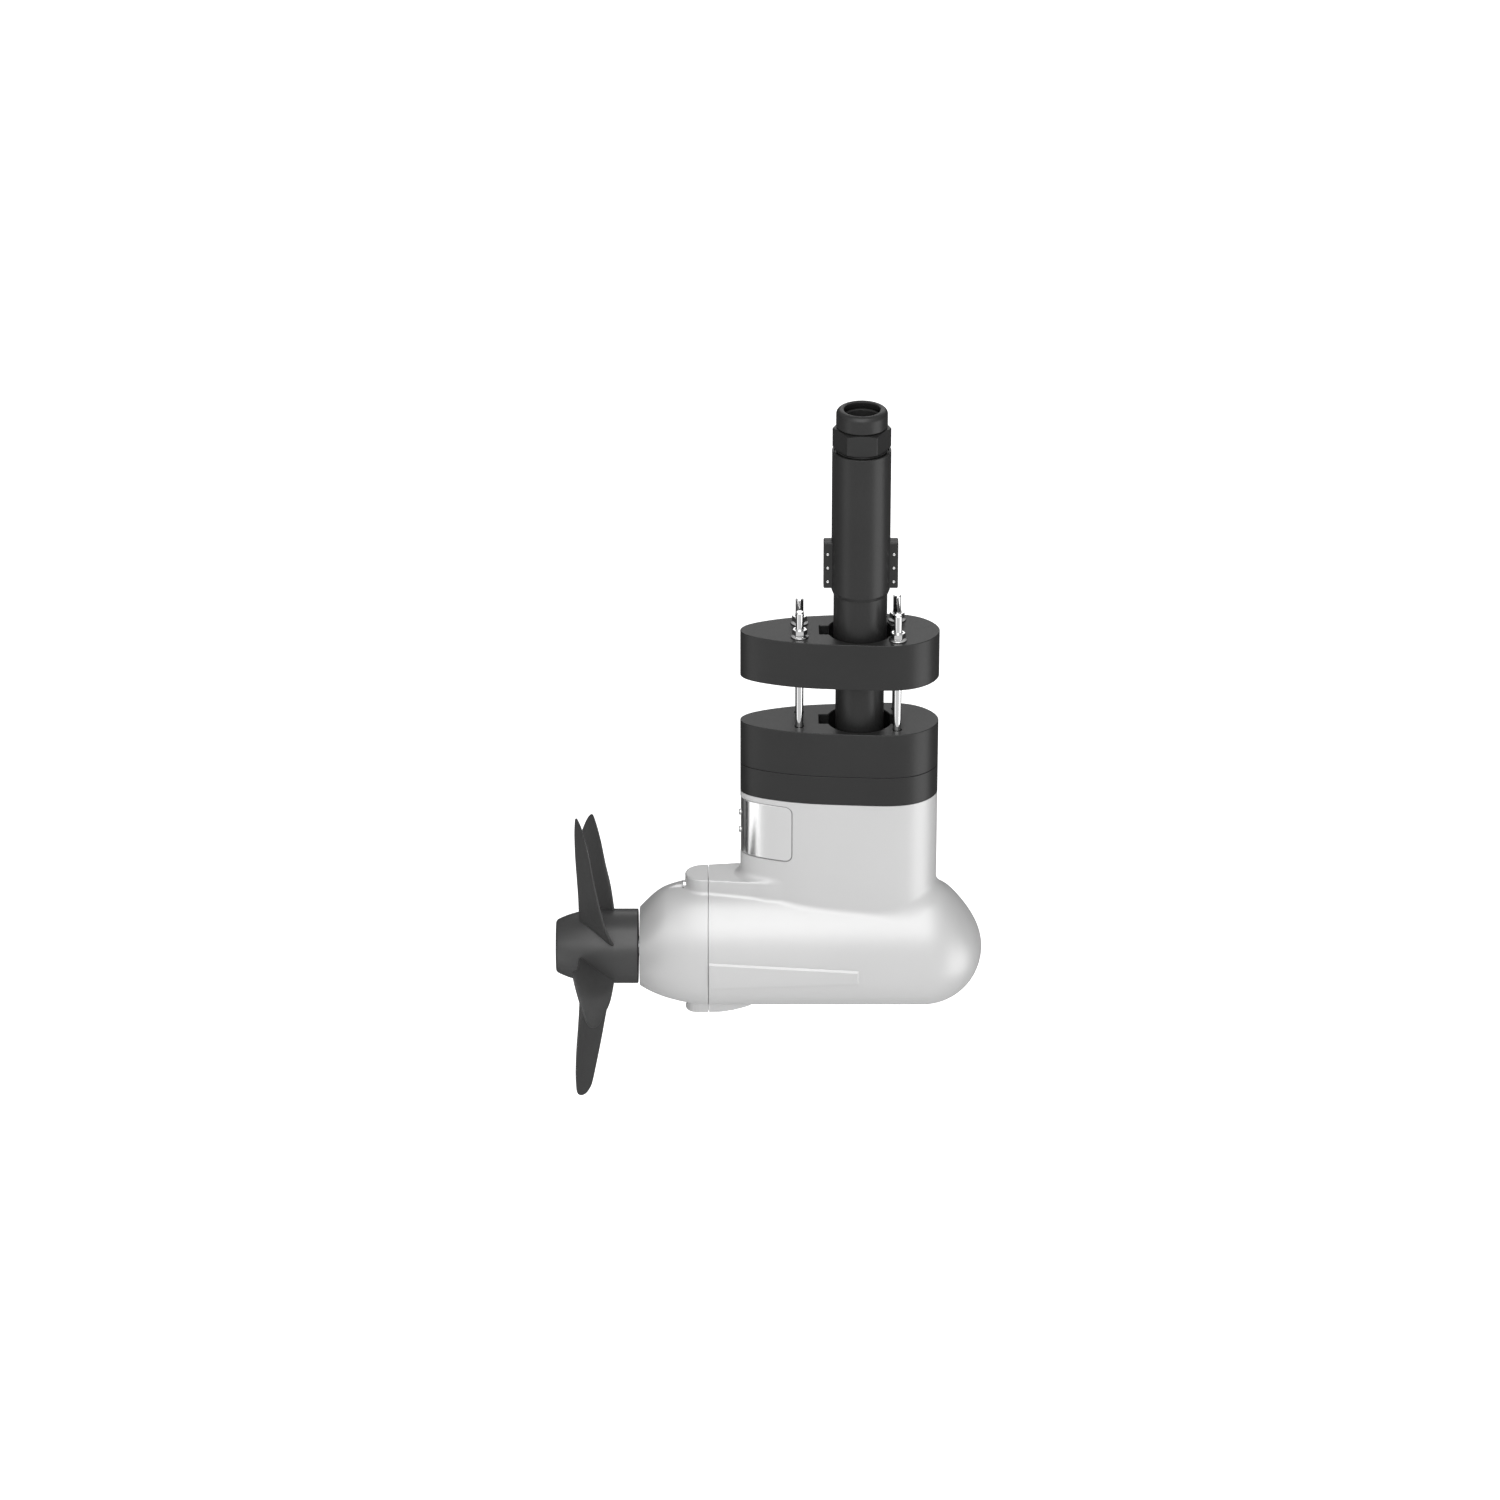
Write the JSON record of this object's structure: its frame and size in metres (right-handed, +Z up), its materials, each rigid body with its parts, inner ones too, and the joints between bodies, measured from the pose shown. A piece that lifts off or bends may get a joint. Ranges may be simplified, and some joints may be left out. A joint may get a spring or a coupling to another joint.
{
  "type": "electric pod drive motor",
  "caption": "Electric pod drive for a boat: streamlined motor pod on a teardrop neck with a bladed propeller, clamp plates and studs that grip the hull, and a cable stem with a gland.",
  "frame": {"origin": "on the stem tube's axis, in the top face of the lower plate, which is the face that meets the hull", "axes": "+Z up along the stem tube, +X towards the pod's nose (the bow), propeller at -X, +Y to port"},
  "size_m": [0.4318, 0.2905, 0.7331],
  "materials": {
    "cast_silver": "satin silver paint on cast aluminium",
    "black_plastic": "matt black engineering plastic",
    "propeller_black": "satin black composite",
    "polished_steel": "polished stainless steel",
    "bright_steel": "bright stainless steel",
    "bearing_steel": "ground steel",
    "lamination": "stacked steel sheet",
    "copper": "enamelled copper wire",
    "magnet": "plated magnet",
    "circuit_board": "green circuit board",
    "rubber": "matt black rubber"
  },
  "bodies": {
    "drive": {"aft_panel": "polished_steel", "bearing_aft": "bearing_steel", "bearing_fore": "bearing_steel", "bearing_plate": "cast_silver", "collar_tube": "black_plastic", "controller_board": "circuit_board", "ear_screw_aft_1": "bright_steel", "ear_screw_aft_2": "bright_steel", "ear_screw_aft_3": "bright_steel", "ear_screw_fore_1": "bright_steel", "ear_screw_fore_2": "bright_steel", "ear_screw_fore_3": "bright_steel", "gland_body": "black_plastic", "gland_seal": "rubber", "gland_washer": "rubber", "lower_plate": "black_plastic", "panel_screw_1": "bright_steel", "panel_screw_2": "bright_steel", "pod_housing": "cast_silver", "shaft_seal": "rubber", "sleeve_back": "black_plastic", "sleeve_front": "black_plastic", "spacer_ring": "black_plastic", "stator_core": "lamination", "stem_tube": "black_plastic", "stud_aft_port": "polished_steel", "stud_aft_starboard": "polished_steel", "stud_fore_port": "polished_steel", "stud_fore_starboard": "polished_steel", "tail_cone": "cast_silver", "tail_screw_bottom": "bright_steel", "tail_screw_top": "bright_steel", "tail_seal_ring": "rubber", "winding_aft": "copper", "winding_fore": "copper"},
    "propeller_set": {"propeller": "propeller_black", "prop_washer": "bright_steel", "prop_nut": "bright_steel", "drive_pin": "bearing_steel", "motor_shaft": "bearing_steel", "rotor_core": "lamination", "rotor_magnet_1": "magnet", "rotor_magnet_2": "magnet", "rotor_magnet_3": "magnet", "rotor_magnet_4": "magnet", "rotor_magnet_5": "magnet", "rotor_magnet_6": "magnet", "rotor_magnet_7": "magnet", "rotor_magnet_8": "magnet"},
    "clamp_plate": {"upper_plate": "black_plastic", "nut_aft_port": "polished_steel", "nut_aft_starboard": "polished_steel", "nut_fore_port": "polished_steel", "nut_fore_starboard": "polished_steel"},
    "gland_nut": {"gland_cap": "black_plastic"}
  },
  "joints": [
    {"name": "propeller_spin", "type": "hinge", "parent": "drive", "child": "propeller_set", "pos_m": [-0.25, 0, -0.2558], "axis": [1, 0, 0], "continuous": true},
    {"name": "clamp_slide", "type": "slide", "parent": "drive", "child": "clamp_plate", "axis": [0, 0, 1], "range_m": [-0.044, 0.01]},
    {"name": "gland_turn", "type": "hinge", "parent": "drive", "child": "gland_nut", "pos_m": [0, 0, 0.32], "axis": [0, 0, 1], "range_deg": [-90, 720]}
  ]
}
